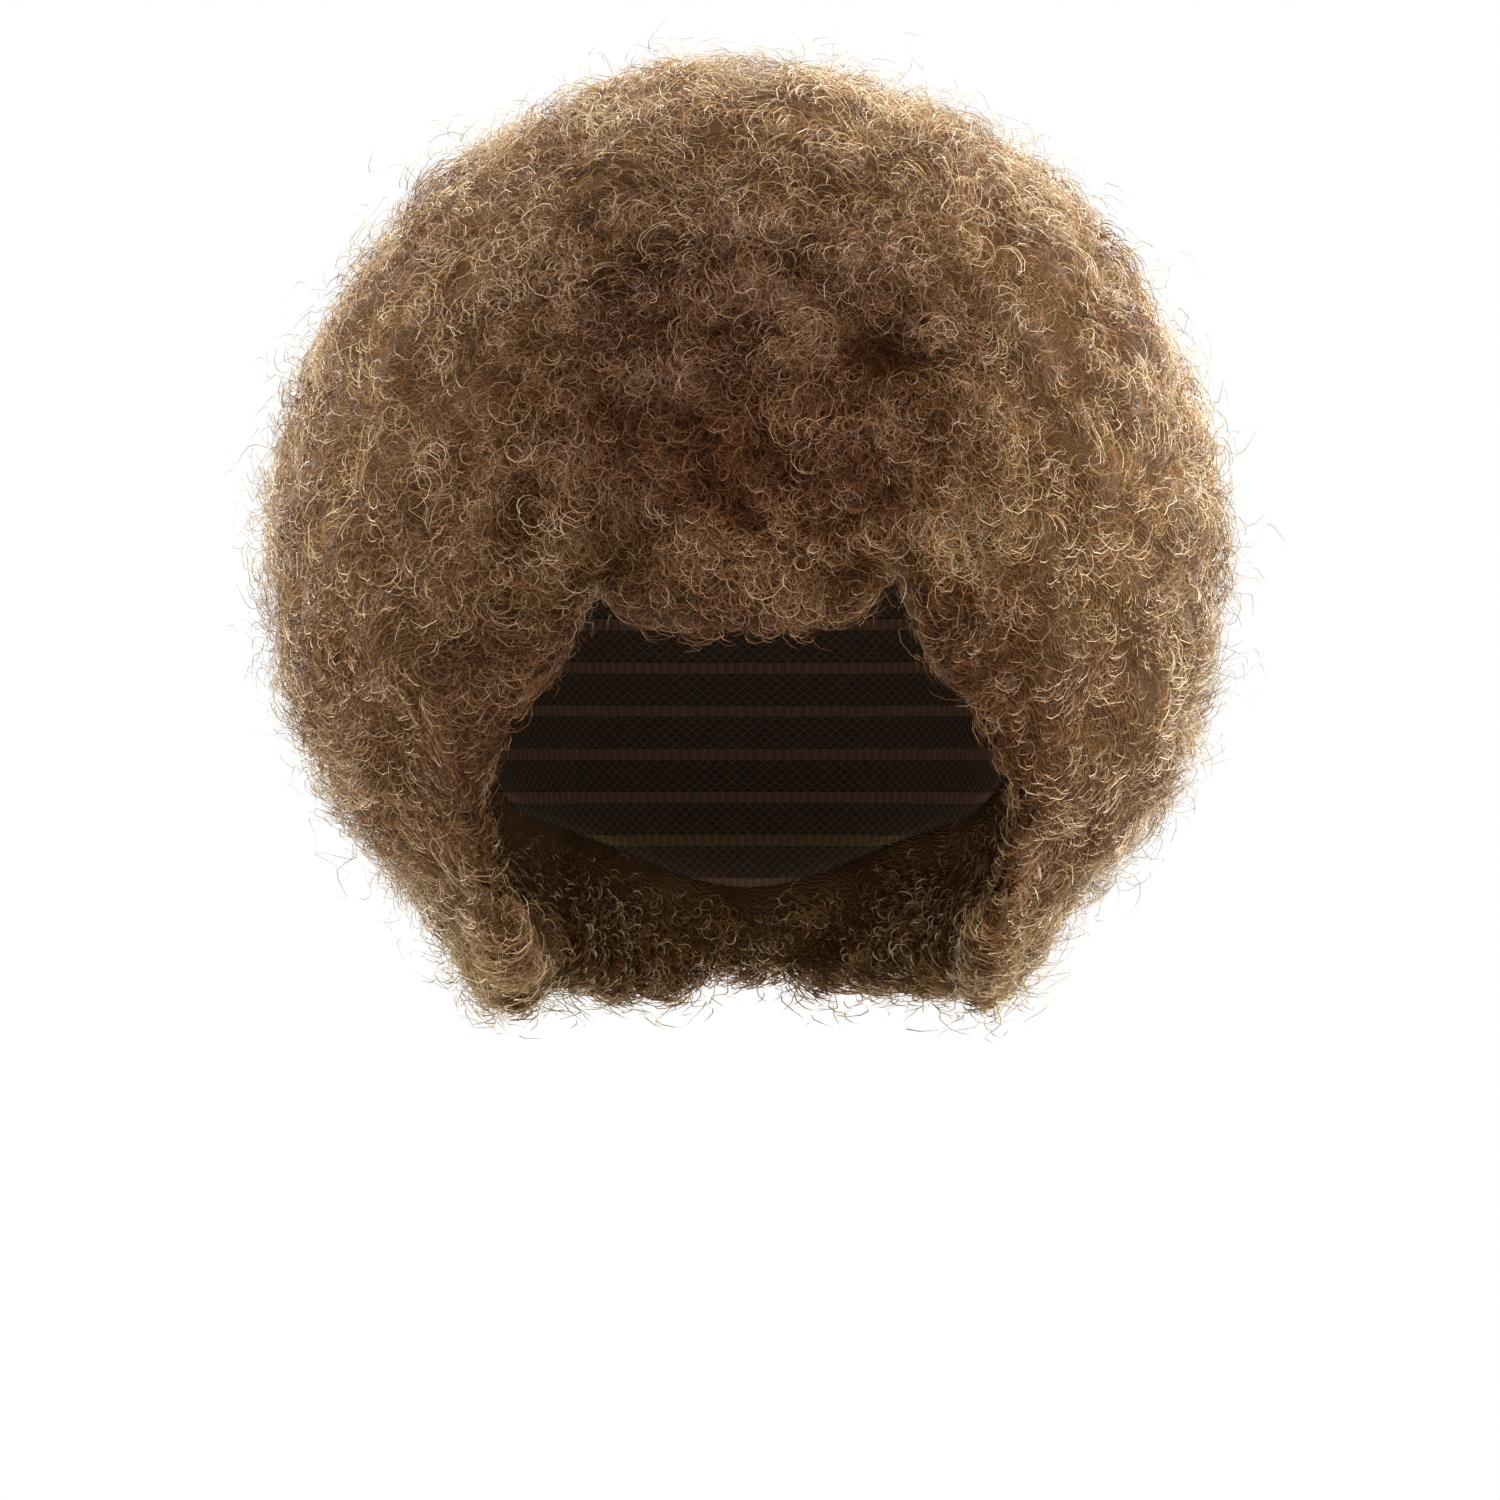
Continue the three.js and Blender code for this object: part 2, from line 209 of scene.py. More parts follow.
paintedShadeLook = {
    "zones": [        # painted shade over the fringe and round the opening: middle, half sizes, strength, tint
        ((-0.001, -0.125, -0.012), (0.088, 0.09, 0.07), 0.88, "9c7d6e"),
        ((-0.003, -0.1, -0.112), (0.108, 0.09, 0.068), 0.82, "a77e6f"),
        ((-0.062, -0.1, -0.06), (0.03, 0.08, 0.036), 0.44, "9f786d"),
    ],
    "fade": (0.3, 1.4),        # half sizes from the middle where it starts to fade, and where it is gone
    "tintEase": 0.25,        # below 1, so the tint reaches further out than the strength
}

fibreLook = {
    "stops": [(0.0, "4d2d13"), (0.3, "82562b"), (0.65, "b38751"), (1.0, "f5dfb4")],
    "tone": 0.88,        # what lightens a strand: its own tone
    "depth": 0.36,        # how far out of the mass it lies, which paints shade on strands deeper in
    "depthFade": (0.1, 0.9),
    "patch": 0.3,        # and patches in the hair
    "brownPatch": 0.25,        # which are stronger where shade is painted
    "patchScale": 38,
    "patchDetail": 2,
    "darken": 0.042,
    "pale": "e0d2ae",        # painted rim light: a pale colour on strands that stand out round the rim
    "paleShare": 0.5,
    "paleFrom": (0.002, 0.008),        # height above the mass
    "rimMiddle": (-0.004, 0.0, -0.052),
    "rim": (0.099, 0.132),        # distance from that middle, seen from the front
    "roughness": 0.4,
    "specular": 0.38,
    "sheen": "fff3e2",
}

massLook = {
    # dark stops: the hair deep under the curls, partly painted shade between the strands
    "stops": [(0.0, "412813"), (0.5, "6e4e2e"), (1.0, "9a7b52")],
    "firstLines": (400, 34, 0.16),        # scale, distortion, detail scale
    "secondLines": (330, 40, 0.2),
    "lineDetail": 2,
    "secondShare": 0.8,
    "turnAxis": (0.4, 0.9, 0.2),        # the second lines cross the first
    "turnAngle": 1.1,
    "sharpness": 3,
    "line": 0.6,        # what lightens the mass: its lines, and patches
    "patch": 0.9,
    "patchScale": 45,
    "patchDetail": 3,
    "darken": 0.3,
    "relief": (0.8, 0.0008),
    "roughness": 0.75,
    "specular": 0.1,
}


# Multiplies the painted shade of the front's middle into a colour
def paintedShaded(nodes, colour, share, tint):
    return nodes.blend(share, colour, tint, "MULTIPLY")


def paintedShadeAt(nodes, coords):        # how much shade is painted over the middle of the front, and the colour to multiply in
    share = 0
    tint = (1, 1, 1)
    for middle, size, strength, brown in paintedShadeLook["zones"]:
        near = 1 - nodes.soften(((coords - middle) / size).length(), *paintedShadeLook["fade"])
        share = (near * strength).larger(share)
        tint = nodes.blend(near ** paintedShadeLook["tintEase"], tint, shade(brown))
    return share, tint


def fibreMaterial():
    material, nodes, shader = newMaterial("curledFibre")
    coords = nodes.add("ShaderNodeTexCoord")["Object"]
    share, tint = paintedShadeAt(nodes, coords)
    patch = nodes.noise(coords, fibreLook["patchScale"], fibreLook["patchDetail"])["Fac"]
    patchy = (patch - 0.5) * (fibreLook["patch"] + share * fibreLook["brownPatch"])
    # Painted shade: strands deeper in the mass are darker, those further out lighter
    outer = nodes.soften(nodes.value("depth"), *fibreLook["depthFade"])
    level = nodes.value("tone") * fibreLook["tone"] + outer * fibreLook["depth"] + patchy
    colour = nodes.ramp(level - fibreLook["darken"], fibreLook["stops"])
    # Painted rim light: strands standing up from the mass near the rim, as seen from the front, are paler
    distance = ((coords - fibreLook["rimMiddle"]) * (1, 0, 1)).length()
    standing = nodes.soften(nodes.value("height"), *fibreLook["paleFrom"])
    rim = nodes.soften(distance, *fibreLook["rim"]) * standing
    colour = nodes.blend(rim * fibreLook["paleShare"], colour, shade(fibreLook["pale"]))
    nodes.feed(shader.inputs["Base Color"], paintedShaded(nodes, colour, share, tint))
    shader.inputs["Roughness"].default_value = fibreLook["roughness"]
    shader.inputs["Specular IOR Level"].default_value = fibreLook["specular"]
    shader.inputs["Specular Tint"].default_value = (*shade(fibreLook["sheen"]), 1)
    return material


def waves(nodes, place, scale, distortion, detailScale):
    sockets = {"Vector": place, "Scale": scale, "Distortion": distortion}
    sockets.update({"Detail": massLook["lineDetail"], "Detail Scale": detailScale})
    return nodes.add("ShaderNodeTexWave", {"bands_direction": "DIAGONAL"}, sockets)["Fac"]


def massMaterial():        # curls that are too small and too deep to be built, as lines that cross
    material, nodes, shader = newMaterial("hairMass")
    coords = nodes.add("ShaderNodeTexCoord")["Object"]
    turned = nodes.add("ShaderNodeVectorRotate", {}, {"Vector": coords, "Axis": massLook["turnAxis"],
                                                      "Angle": massLook["turnAngle"]})
    first = waves(nodes, coords, *massLook["firstLines"]) ** massLook["sharpness"]
    second = waves(nodes, turned, *massLook["secondLines"]) ** massLook["sharpness"]
    lines = first.larger(second * massLook["secondShare"])
    patch = nodes.noise(coords, massLook["patchScale"], massLook["patchDetail"])["Fac"]
    level = lines * massLook["line"] + patch * massLook["patch"] - massLook["darken"]
    colour = nodes.ramp(level, massLook["stops"])
    # The mass takes the same painted shade over the middle of the front
    nodes.feed(shader.inputs["Base Color"], paintedShaded(nodes, colour, *paintedShadeAt(nodes, coords)))
    nodes.feed(shader.inputs["Normal"], nodes.relief(lines, *massLook["relief"]))
    shader.inputs["Roughness"].default_value = massLook["roughness"]
    shader.inputs["Specular IOR Level"].default_value = massLook["specular"]
    return material


fibre = fibreMaterial()
mass = massMaterial()
print("hair materials made")


# Mesh helpers

weldDistance = 2e-5


def joinedCopy(nodeNames, name):
    shape = bmesh.new()
    for nodeName in nodeNames:
        shape.from_mesh(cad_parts[nodeName].data)
    bmesh.ops.remove_doubles(shape, verts=shape.verts, dist=weldDistance)
    mesh = bpy.data.meshes.new(name)
    shape.to_mesh(mesh)
    shape.free()
    return mesh


def newObject(name, mesh):
    piece = bpy.data.objects.new(name, mesh)
    bpy.context.scene.collection.objects.link(piece)
    return piece


def settle(piece):        # its modifiers become plain mesh
    ready = piece.evaluated_get(bpy.context.evaluated_depsgraph_get())
    mesh = bpy.data.meshes.new_from_object(ready)
    mesh.name = piece.name
    piece.modifiers.clear()
    piece.data = mesh
    return mesh


def shadeSmooth(mesh):
    mesh.polygons.foreach_set("use_smooth", [True] * len(mesh.polygons))


def addValues(mesh, name, values):        # one for each vertex
    mesh.attributes.new(name, "FLOAT", "POINT").data.foreach_set("value", values)


def meshTree(mesh):
    places = [v.co.copy() for v in mesh.vertices]
    return BVHTree.FromPolygons(places, [list(p.vertices) for p in mesh.polygons])


def evenOut(mesh, chosen, times, axes):
    shape = bmesh.new()
    shape.from_mesh(mesh)
    vertices = [v for v in shape.verts if chosen(v.co.z)]
    ways = {f"use_axis_{axis}": True for axis in axes}
    for _ in range(times):
        bmesh.ops.smooth_vert(shape, verts=vertices, factor=0.5, **ways)
    shape.to_mesh(mesh)
    shape.free()


def eased(value, low, high):
    share = min(max((value - low) / (high - low), 0), 1)
    return share * share * (3 - 2 * share)


def rising(least, value, low, high):        # from least at low to 1 at high
    return least + (1 - least) * eased(value, low, high)


# Hair mass: the regions joined and softened give one seamless surface for the curls to grow on

massShape = {
    "voxel": 0.0046,
    "smoothing": 2,
    "topSmoothing": 5,        # more of it above the hem
    "setIn": (0.005, 0.22),        # at most, and as a share of the thickness: the curls fill it up again
    "touching": (0.003, 0.009),        # nothing grows or draws in where the cap is this near
    "rayStart": 0.0005,        # below the surface, to measure the thickness
    "backingVoxel": 0.007,
    "backingSetIn": (0.009, 0.3),
    "backingDepth": 0.003,
    "backingHem": -0.16,        # it ends well above the hem
    "hem": -0.15,        # below this the edge is evened out
    "hemSmoothing": 20,
    "hemGrowth": 3.0,        # more curls for each one at the hem
    "hemDense": (0.14, 0.168),        # how far down that starts, and where it is full
    "fringeDepth": 0.0015,        # how far the lower edge of the fringe is drawn up
    "fringeTurn": (0.1, 0.7),        # what counts as that edge: its turn down, place and height
    "fringeFront": (0.04, 0.07),
    "fringeHeight": (-0.115, -0.1),
    "fringeFlat": 0.35,        # share by which curls stand up less there
    "notches": [(-0.0385, 0.014), (0.0365, 0.018)],        # their middles, and how far they go up
    "notchWidth": 0.013,
    "notchFront": (0.05, 0.07),
    "notchDown": (0.03, 0.075),        # how far down they start, and where they are full
    "openingDepth": 0.005,        # how far the edges beside the opening are drawn back
    "openingTurn": (0.1, 0.6),
    "openingFront": (0.01, 0.04),
    "openingBottom": (-0.16, -0.13),
    "openingTop": (0.085, 0.1),
    "hollowAt": (0.055, -0.02, 0.07),        # the top is a little lower on this side
    "hollowSize": 0.075,
    "hollowDepth": 0.006,
    "innerGrowth": 0.9,        # share of the curls on the surfaces that turn inwards
    "innerLift": 0.42,        # and how far they stand up there
    "growthTurn": (-0.5, 0),        # from turned inwards to turned outwards
    "liftTurn": (-0.4, 0.4),
}

regions = {        # hair region: name of its piece, seed, how thick its strands are
    "crown_hair": ("crown_curls", 11, 1.0),
    "fringe": ("fringe_curls", 23, 1.0),
    "side_hair_left": ("side_curls_left", 37, 1.05),
    "side_hair_right": ("side_curls_right", 41, 1.05),
    "back_hair": ("back_curls", 53, 1.3),        # they stand further apart here
}

capTree = meshTree(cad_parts["wig_cap"].data)


def softened(nodeNames, name, voxel):        # remeshed and smoothed
    piece = newObject(name, joinedCopy(nodeNames, name))
    remesh = piece.modifiers.new("remesh", "REMESH")
    remesh.mode = "VOXEL"
    remesh.voxel_size = voxel
    smooth = piece.modifiers.new("smooth", "SMOOTH")
    smooth.iterations = massShape["smoothing"]
    shadeSmooth(settle(piece))
    return piece


def cutNotches(vertex):        # up into the fringe
    x, y, z = vertex.co
    front = eased(-y, *massShape["notchFront"])
    down = eased(-z, *massShape["notchDown"])
    for middle, height in massShape["notches"]:
        notch = 1 - eased(abs(x - middle), 0, massShape["notchWidth"])
        vertex.co.z += height * notch * front * down


def fringeEdge(vertex):        # 1 along the lower edge of the fringe
    turned = eased(-vertex.normal.z, *massShape["fringeTurn"])
    forward = eased(-vertex.co.y, *massShape["fringeFront"])
    return turned * forward * eased(vertex.co.z, *massShape["fringeHeight"])


def openingEdge(vertex):        # 1 along the edges beside the opening
    x, y, z = vertex.co
    turned = eased(-vertex.normal.x * math.copysign(1, x), *massShape["openingTurn"])
    forward = eased(-y, *massShape["openingFront"])
    return turned * forward * eased(z, *massShape["openingBottom"]) * eased(-z, *massShape["openingTop"])


def trimmed(vertex):        # how far the hair round the opening is cut back
    return max(fringeEdge(vertex) * massShape["fringeDepth"], openingEdge(vertex) * massShape["openingDepth"])


def drawIn(mesh, most, share):        # off every surface not on the cap; gives how clear of it each vertex is
    inside = meshTree(mesh)
    hollowAt = Vector(massShape["hollowAt"])
    moves = []
    clear = []
    for vertex in mesh.vertices:
        start = vertex.co - vertex.normal * massShape["rayStart"]
        far = inside.ray_cast(start, -vertex.normal)[3] or 1
        clear.append(eased(capTree.find_nearest(vertex.co)[3], *massShape["touching"]))
        dip = 1 - eased((vertex.co - hollowAt).length, 0, massShape["hollowSize"])
        deep = min(most, far * share) + dip * massShape["hollowDepth"] + trimmed(vertex)
        moves.append(vertex.normal * deep * clear[-1])
    for vertex, move in zip(mesh.vertices, moves):
        vertex.co -= move
        cutNotches(vertex)
    evenOut(mesh, lambda z: z < massShape["hem"], massShape["hemSmoothing"], "z")
    return clear


def backingOf(nodeName, surface):        # the region's own solid, kept just under the growing surface
    piece = softened([nodeName], nodeName + "_backing", massShape["backingVoxel"])
    drawIn(piece.data, *massShape["backingSetIn"])
    for vertex in piece.data.vertices:
        vertex.co.z = max(vertex.co.z, massShape["backingHem"])
        place, normal = surface.find_nearest(vertex.co)[:2]
        if (place - vertex.co).dot(normal) < massShape["backingDepth"]:
            vertex.co = place - normal * massShape["backingDepth"]
    return piece


def growthAt(vertex, free):        # how densely curls grow, and how far they stand up
    facing = vertex.normal.dot((vertex.co - hairMiddle).normalized())
    hem = 1 + massShape["hemGrowth"] * eased(-vertex.co.z, *massShape["hemDense"])
    grow = free * hem * rising(massShape["innerGrowth"], facing, *massShape["growthTurn"])
    flat = 1 - massShape["fringeFlat"] * fringeEdge(vertex)
    return grow, rising(massShape["innerLift"], facing, *massShape["liftTurn"]) * flat


def cutPatch(mesh, polygons, growth, name):        # gives it with its area, counted by growth
    used = sorted({k for p in polygons for k in p.vertices})
    place = {k: n for n, k in enumerate(used)}
    corners = [[place[k] for k in p.vertices] for p in polygons]
    patch = bpy.data.meshes.new(name)
    patch.from_pydata([mesh.vertices[k].co for k in used], [], corners)
    addValues(patch, "grow", [growth[k][0] for k in used])
    addValues(patch, "lift", [growth[k][1] for k in used])
    shadeSmooth(patch)
    area = sum(p.area * sum(growth[k][0] for k in p.vertices) / len(p.vertices) for p in polygons)
    return patch, area


def growthPatches():        # the whole surface, cut up by the region each polygon is nearest to
    whole = softened(regions, "growth", massShape["voxel"])
    mesh = whole.data
    evenOut(mesh, lambda z: z > massShape["hem"], massShape["topSmoothing"], "xyz")
    clear = drawIn(mesh, *massShape["setIn"])
    growth = [growthAt(vertex, free) for vertex, free in zip(mesh.vertices, clear)]
    trees = {name: meshTree(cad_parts[name].data) for name in regions}
    owners = {name: [] for name in regions}
    for polygon in mesh.polygons:
        nearest = min(trees, key=lambda name: trees[name].find_nearest(polygon.center)[3])
        owners[nearest].append(polygon)
    cut = {name: cutPatch(mesh, polygons, growth, name + "_patch") for name, polygons in owners.items()}
    surface = meshTree(mesh)
    bpy.data.objects.remove(whole)
    return cut, surface


# Strands: bands that wind round the axis of their clump, whole coils and short arcs of coils

strandKinds = {
    "Curl": {        # whole coils that stand out of the mass
        "Count": 5700,        # in each region
        "Rooted": 1.0,        # starts at the mass, not part of the way up
        "Stray": 0.24,        # share that stands out of its clump
        "Loose": 0.02,        # and the few that stand right out
        "Scatter": 1.1,        # angle by which the coils of a clump differ
        "Turns": 1.0,
        "Rise": 0.006,        # most height above the root where the winding starts
        "Pitch": 0.0042,        # climb while it winds
        "Sink": 0.001,
        "Radius": 0.0036,
        "Frizz": 0.004,
        "Width": 0.00022,
    },
    "Arc": {        # short lengths of finer coils that fill the mass up
        "Count": 21800,
        "Rooted": 0.0,
        "Stray": 0.0,
        "Loose": 0.0,
        "Scatter": 6.28,
        "Turns": 0.38,
        "Rise": 0.0055,
        "Pitch": 0.002,
        "Sink": 0.0004,
        "Radius": 0.0042,
        "Frizz": 0.002,
        "Width": 0.0002,
    },
}

stripSteps = {"Curl": 9, "Arc": 3}        # along each strand

strandForm = {        # pairs are the least, and what chance adds to it
    "clumpSize": 0.0105,        # from one clump of curls to the next
    "clumpDensity": 60000.0,        # before the clumps that are too near are left out
    "lean": 0.9,        # how far each clump leans its own way
    "leanMiddle": (0.5, 0.5, 0.65),        # a little more of them downwards
    "fall": (-0.14, -0.172),        # the height where strands start to hang, and where all do
    "fallLean": -0.9,
    "fallWidth": 0.8,        # they are thicker there by this share
    "sideways": (0.31, 0.52, 0.79),        # only to set each coil's first direction
    "leftHanded": 0.5,        # share of the clumps
    "turns": (0.7, 0.6),
    "clumpSizes": (0.55, 0.8),
    "strandSizes": (0.7, 0.55),
    "pitches": (0.5, 1.0),
    "strayRise": 0.6,        # strays stand this much higher
    "straySize": 0.3,        # and wind this much wider
    "flatSize": 0.3,        # share of the radius that stays where curls lie low
    "opening": 3,        # a higher power opens the coil sooner
    "tighten": 0.3,        # share by which its end is narrower
    "gather": 0.25,        # how far its end is drawn to its clump
    "rootLength": 0.25,        # share of the strand that leads up to the winding
    "frizzScale": 150.0,
    "frizzDetail": 1.0,
    "frizzSpread": 0.02,        # so that strands side by side differ
    "taper": 0.5,
    "tilt": 0.7,        # of the band's flat side
    "ownTone": 0.85,
    "clumpTone": 0.15,
    # strays are lighter: painted rim light where they stand out round the edge
    "strayTone": 0.1,
}


def stripMesh(steps):        # a flat band, pointed at both ends, which the node tree bends
    rows = [(0, 0)]
    for step in range(1, steps):
        rows += [(step, -0.5), (step, 0.5)]
    rows += [(steps, 0)]
    last = len(rows) - 1
    faces = [(0, 1, 2), (last - 2, last, last - 1)]
    faces += [(k, k + 2, k + 3, k + 1) for k in range(1, last - 3, 2)]
    mesh = bpy.data.meshes.new("strip")
    mesh.from_pydata([(side, 0, step / steps) for step, side in rows], [], faces)
    addValues(mesh, "along", [step / steps for step, side in rows])
    addValues(mesh, "side", [side for step, side in rows])
    return mesh


def planted(nodes, given, clumps, kind):        # a straight band at every root
    number = list(strandKinds).index(kind) + 1
    here = nodes.add("GeometryNodeInputPosition")
    density = given[f"{kind} Count"] / given["Area"] * nodes.read("grow")
    roots = nodes.add("GeometryNodeDistributePointsOnFaces", {"distribute_method": "RANDOM"},
                      {"Mesh": given, "Density": density, "Seed": given["Seed"] + number})
    nearest = nodes.add("GeometryNodeSampleNearest", {"domain": "POINT"}, {"Geometry": clumps})
    clumpPlace = nodes.add("GeometryNodeSampleIndex", {"data_type": "FLOAT_VECTOR", "domain": "POINT"},
                           {"Geometry": clumps, "Value": here, "Index": nearest})
    points = nodes.store(roots, "outward", "FLOAT_VECTOR", roots["Normal"])
    points = nodes.store(points, "rootAt", "FLOAT_VECTOR", here)
    points = nodes.store(points, "clumpAt", "FLOAT_VECTOR", clumpPlace)
    points = nodes.store(points, "clumpNumber", "INT", nearest)
    points = nodes.store(points, "rootNumber", "INT", nodes.add("GeometryNodeInputIndex"))
    strip = nodes.add("GeometryNodeObjectInfo", {}, {"Object": given[f"{kind} Strip"]})["Geometry"]
    bands = nodes.add("GeometryNodeInstanceOnPoints", {}, {"Points": points, "Instance": strip})
    return nodes.add("GeometryNodeRealizeInstances", {}, {"Geometry": bands})


def wound(nodes, given, bands, kind):        # bends the bands, and stores what their material reads
    form = strandForm

    def setting(key):
        return given[f"{kind} {key}"]

    def varied(owner, use, least, more):
        return least + nodes.chance(owner, use) * more

    along = nodes.read("along")
    lift = nodes.read("lift")
    root = nodes.read("rootNumber", "INT")
    clump = nodes.read("clumpNumber", "INT")
    rootAt = nodes.read("rootAt", "FLOAT_VECTOR")
    clumpAt = nodes.read("clumpAt", "FLOAT_VECTOR")
    outward = nodes.read("outward", "FLOAT_VECTOR")
    rooted = setting("Rooted")
    stray = (nodes.chance(root, 1) < setting("Stray")) + (nodes.chance(root, 1) < setting("Loose"))

    leaning = [nodes.chance(clump, 2 + k) - middle for k, middle in enumerate(form["leanMiddle"])]
    lean = nodes.add("ShaderNodeCombineXYZ", {}, dict(enumerate(leaning)))
    fall = nodes.soften(nodes.add("ShaderNodeSeparateXYZ", {}, {"Vector": rootAt})["Z"], *form["fall"])
    down = nodes.add("ShaderNodeCombineXYZ", {}, {2: fall * form["fallLean"]})
    axis = (outward + lean * form["lean"] + down).unit()
    aside = axis.cross(form["sideways"]).unit()
    over = axis.cross(aside)

    hand = (nodes.chance(clump, 5) < form["leftHanded"]) * 2 - 1
    scatter = (nodes.chance(root, 7) - 0.5) * setting("Scatter") + stray * nodes.chance(root, 8) * math.tau
    turns = along * setting("Turns") * varied(root, 9, *form["turns"])
    turn = nodes.chance(clump, 6) * math.tau + scatter + hand * turns * math.tau
    across = aside * turn.cosine() + over * turn.sine()

    opened = (1 - (1 - along) ** form["opening"] * rooted) * (1 - along * form["tighten"] * rooted)
    size = varied(clump, 10, *form["clumpSizes"]) * varied(root, 11, *form["strandSizes"])
    size = size * (1 + stray * form["straySize"])
    radius = setting("Radius") * size * opened * (form["flatSize"] + lift * (1 - form["flatSize"]))

    gather = nodes.soften(along, 0.0, 1.0) * (1 - stray) * form["gather"] * rooted
    begun = 1 - (1 - nodes.soften(along, 0.0, form["rootLength"])) * rooted
    higher = 1 + stray * form["strayRise"]
    start = begun * setting("Rise") * nodes.chance(root, 12) * higher
    climb = along * setting("Pitch") * varied(root, 16, *form["pitches"]) * higher
    middle = rootAt + (clumpAt - rootAt) * gather + axis * (start + climb - setting("Sink")) * lift
    frizzPlace = middle + axis * nodes.chance(root, 13) * form["frizzSpread"]
    frizz = nodes.noise(frizzPlace, form["frizzScale"], form["frizzDetail"])["Color"] - (0.5, 0.5, 0.5)
    line = middle + across * radius + frizz * setting("Frizz") * along
    width = setting("Width") * (1 - along * form["taper"] * rooted) * (1 + fall * form["fallWidth"])
    place = line + (across + axis * form["tilt"]).unit() * nodes.read("side") * width
    strands = nodes.add("GeometryNodeSetPosition", {}, {"Geometry": bands, "Position": place})

    tone = nodes.chance(root, 14) ** 2 * form["ownTone"] + nodes.chance(clump, 15) * form["clumpTone"]
    strands = nodes.store(strands, "tone", "FLOAT", tone + stray * form["strayTone"])
    height = (nodes.add("GeometryNodeInputPosition") - rootAt).dot(outward)
    strands = nodes.store(strands, "height", "FLOAT", height)
    depth = nodes.chance(root, 12) * (1 - rooted) + along * rooted
    return nodes.store(strands, "depth", "FLOAT", depth)


def strandTree():        # strands, then the patch they grow on and its backing
    tree = bpy.data.node_groups.new("strands", "GeometryNodeTree")
    inputs = {"Geometry": "Geometry"}
    for kind, shape in strandKinds.items():
        inputs.update({f"{kind} {key}": "Float" for key in shape})
        inputs[f"{kind} Strip"] = "Object"
    inputs.update({"Area": "Float", "Clump Size": "Float", "Seed": "Int", "Backing": "Object"})
    inputs.update({"Fibre": "Material", "Mass": "Material"})
    for name, kind in inputs.items():
        tree.interface.new_socket(name, in_out="INPUT", socket_type="NodeSocket" + kind)
    tree.interface.new_socket("Geometry", in_out="OUTPUT", socket_type="NodeSocketGeometry")
    nodes = Nodes(tree)
    given = nodes.add("NodeGroupInput")
    clumps = nodes.add("GeometryNodeDistributePointsOnFaces", {"distribute_method": "POISSON"},
                       {"Mesh": given, "Distance Min": given["Clump Size"],
                        "Density Max": strandForm["clumpDensity"], "Seed": given["Seed"]})
    kinds = [wound(nodes, given, planted(nodes, given, clumps, kind), kind) for kind in strandKinds]
    backing = nodes.add("GeometryNodeObjectInfo", {}, {"Object": given["Backing"]})["Geometry"]
    under = nodes.store(nodes.join(given, backing), "under", "BOOLEAN", True, "FACE")
    shape = nodes.join(nodes.join(*kinds), under)
    shape = nodes.add("GeometryNodeRealizeInstances", {}, {"Geometry": shape})
    shape = nodes.add("GeometryNodeSetMaterial", {}, {"Geometry": shape, "Material": given["Fibre"]})
    shape = nodes.add("GeometryNodeSetMaterial", {}, {"Geometry": shape, "Material": given["Mass"],
                                                      "Selection": nodes.read("under", "BOOLEAN")})
    nodes.add("NodeGroupOutput", {}, {"Geometry": shape})
    return tree


def setInputs(modifier, values):
    for item in modifier.node_group.interface.items_tree:
        if item.in_out == "INPUT" and item.name in values:
            modifier[item.identifier] = values[item.name]


def strandSettings():
    values = {"Clump Size": strandForm["clumpSize"], "Fibre": fibre, "Mass": mass}
    for kind, shape in strandKinds.items():
        values.update({f"{kind} {key}": float(value) for key, value in shape.items()})
        values[f"{kind} Strip"] = newObject(f"{kind}_strip", stripMesh(stripSteps[kind]))
    return values


tree = strandTree()
settings = strandSettings()
patches, surface = growthPatches()
for nodeName, (name, seed, thick) in regions.items():
    patch, area = patches[nodeName]
    piece = newObject(name, patch)
    backing = backingOf(nodeName, surface)
    modifier = piece.modifiers.new("strands", "NODES")
    modifier.node_group = tree
    widths = {f"{kind} Width": shape["Width"] * thick for kind, shape in strandKinds.items()}
    setInputs(modifier, {**settings, **widths, "Area": area, "Seed": seed, "Backing": backing})
    mesh = settle(piece)
    bpy.data.objects.remove(backing)
    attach(piece, "root")
    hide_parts(nodeName)
    print(name, "has", sum(len(p.vertices) - 2 for p in mesh.polygons), "triangles on", round(area, 4), "m2")
for kind in strandKinds:
    bpy.data.objects.remove(settings[f"{kind} Strip"])


# Cap: the CAD cap, rounded, in stretch net

capLook = {
    "net": "3b2b1e",
    "cord": "7a5d3f",
    "radius": 0.08,        # turns the angle round the cap into a length
    "mesh": 0.0026,
    "netEdge": (0.75, 0.95),
    "netShare": 0.5,        # the net is this much of the cord's colour
    "rowHeight": 0.012,
    "rowEdge": (0.8, 0.88),
    "stitch": 0.0022,
    "stitchShare": 0.45,
    "relief": (0.8, 0.0008),
    "roughness": 0.85,
}


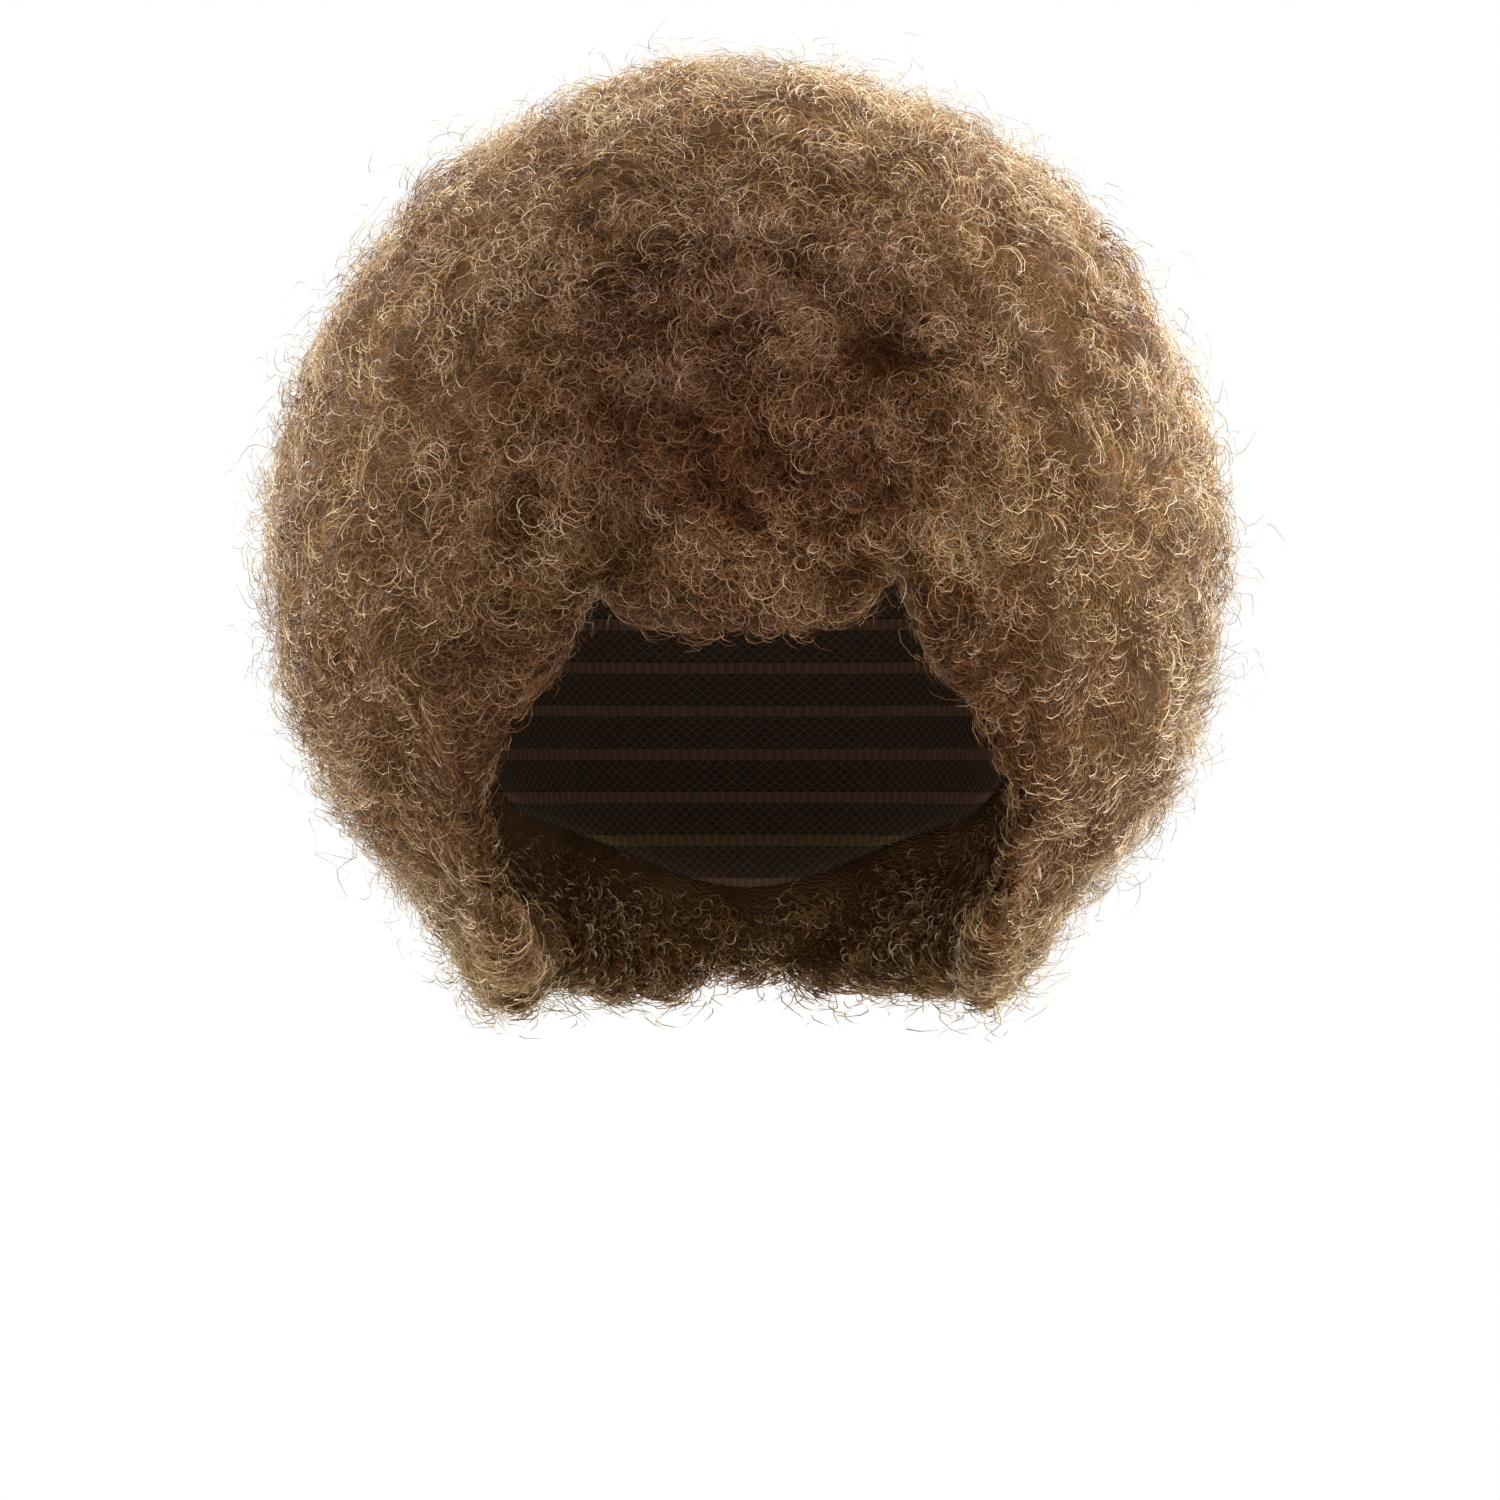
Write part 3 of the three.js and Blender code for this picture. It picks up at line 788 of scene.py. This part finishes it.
def capMaterial():        # a diamond net with rows of sewn weft
    material, nodes, shader = newMaterial("capNet")
    coords = nodes.add("ShaderNodeTexCoord")["Object"]
    split = nodes.add("ShaderNodeSeparateXYZ", {}, {"Vector": coords})
    around = split["X"].angle(split["Y"]) * capLook["radius"]
    height = split["Z"]
    slope = math.pi / capLook["mesh"]
    first = 1 - ((around + height) * slope).sine() ** 2
    second = 1 - ((around - height) * slope).sine() ** 2
    net = nodes.soften(first.larger(second), *capLook["netEdge"])
    rows = 1 - (height * (math.pi / capLook["rowHeight"])).sine() ** 2
    stitches = (around * (math.tau / capLook["stitch"])).sine() * 0.5 + 0.5
    sewn = 1 - capLook["stitchShare"] + stitches * capLook["stitchShare"]
    level = (net * capLook["netShare"]).larger(nodes.soften(rows, *capLook["rowEdge"]) * sewn)
    colour = nodes.blend(level, shade(capLook["net"]), shade(capLook["cord"]))
    nodes.feed(shader.inputs["Base Color"], colour)
    nodes.feed(shader.inputs["Normal"], nodes.relief(level, *capLook["relief"]))
    shader.inputs["Roughness"].default_value = capLook["roughness"]
    return material


cap = newObject("net_cap", joinedCopy(["wig_cap"], "net_cap"))
rounding = cap.modifiers.new("rounding", "SUBSURF")
rounding.levels = rounding.render_levels = 1
capMesh = settle(cap)
shadeSmooth(capMesh)
capMesh.materials.clear()
capMesh.materials.append(capMaterial())
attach(cap, "root")
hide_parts("wig_cap")
print("cap made")


# Studio: white surround, pale floor far below, soft lights from the sides and above

studio = {
    "floorHeight": -3.0,
    "floorSize": 24.0,
    "floorColour": "e8e6e3",
    "floorRoughness": 0.9,
    "surround": 1.0,        # brightness behind the wig
    "ambient": 0.42,        # light from the surround
    "lights": [        # name, place, watts, size, colour
        ("above", (0.0, 0.2, 1.6), 32, 1.2, "f0f6ff"),
        ("left", (-1.5, 0.1, 0.25), 33, 1.2, "ffffff"),
        ("right", (1.45, -0.2, 0.35), 48, 1.2, "fafbff"),
        ("behindLeft", (-0.9, 1.3, 0.4), 38, 1.0, "eef4ff"),
        ("behindRight", (0.9, 1.3, 0.4), 48, 1.0, "eef4ff"),
        ("front", (0.2, -2.2, 0.9), 11, 0.9, "fff6ea"),
    ],
}

cameraView = {"place": (0.0005, -1.7, -0.107), "target": (0.0005, 0, -0.107), "lens": 154, "sensor": 36}


def aim(thing, target):
    way = Vector(target) - thing.location
    thing.rotation_euler = way.to_track_quat("-Z", "Y").to_euler()


def makeFloor():        # shows as white as the surround, but is lit as a pale floor
    half = studio["floorSize"] / 2
    mesh = bpy.data.meshes.new("floor")
    corners = [(-half, -half), (half, -half), (half, half), (-half, half)]
    mesh.from_pydata([(x, y, studio["floorHeight"]) for x, y in corners], [], [(0, 1, 2, 3)])
    floor = newObject("floor", mesh)
    material, nodes, shader = newMaterial("paleFloor")
    shader.inputs["Base Color"].default_value = (*shade(studio["floorColour"]), 1)
    shader.inputs["Roughness"].default_value = studio["floorRoughness"]
    seen = nodes.add("ShaderNodeLightPath")["Is Camera Ray"]
    glow = nodes.add("ShaderNodeEmission", {}, {"Color": (1, 1, 1), "Strength": studio["surround"]})
    lit = Wire(nodes, shader.outputs["BSDF"])
    look = nodes.add("ShaderNodeMixShader", {}, {0: seen, 1: lit, 2: glow})
    nodes.feed(material.node_tree.nodes["Material Output"].inputs["Surface"], look)
    mesh.materials.append(material)


def makeLights():
    for name, place, watts, size, colour in studio["lights"]:
        light = bpy.data.lights.new(name, "AREA")
        light.energy = watts
        light.size = size
        light.color = shade(colour)
        lamp = newObject(name, light)
        lamp.location = place
        aim(lamp, hairMiddle)


def makeSurround():
    world = bpy.data.worlds.new("surround")
    world.use_nodes = True
    nodes = Nodes(world.node_tree)
    seen = nodes.add("ShaderNodeLightPath")["Is Camera Ray"]
    strength = studio["ambient"] + seen * (studio["surround"] - studio["ambient"])
    background = world.node_tree.nodes["Background"]
    background.inputs["Color"].default_value = (1, 1, 1, 1)
    nodes.feed(background.inputs["Strength"], strength)
    bpy.context.scene.world = world
    bpy.context.scene.view_settings.view_transform = "Standard"


def makeCamera():
    lens = bpy.data.cameras.new("camera")
    lens.sensor_width = cameraView["sensor"]
    lens.lens = cameraView["lens"]
    camera = newObject("camera", lens)
    camera.location = cameraView["place"]
    aim(camera, cameraView["target"])
    bpy.context.scene.camera = camera


makeFloor()
makeLights()
makeSurround()
makeCamera()
print("studio and camera made")
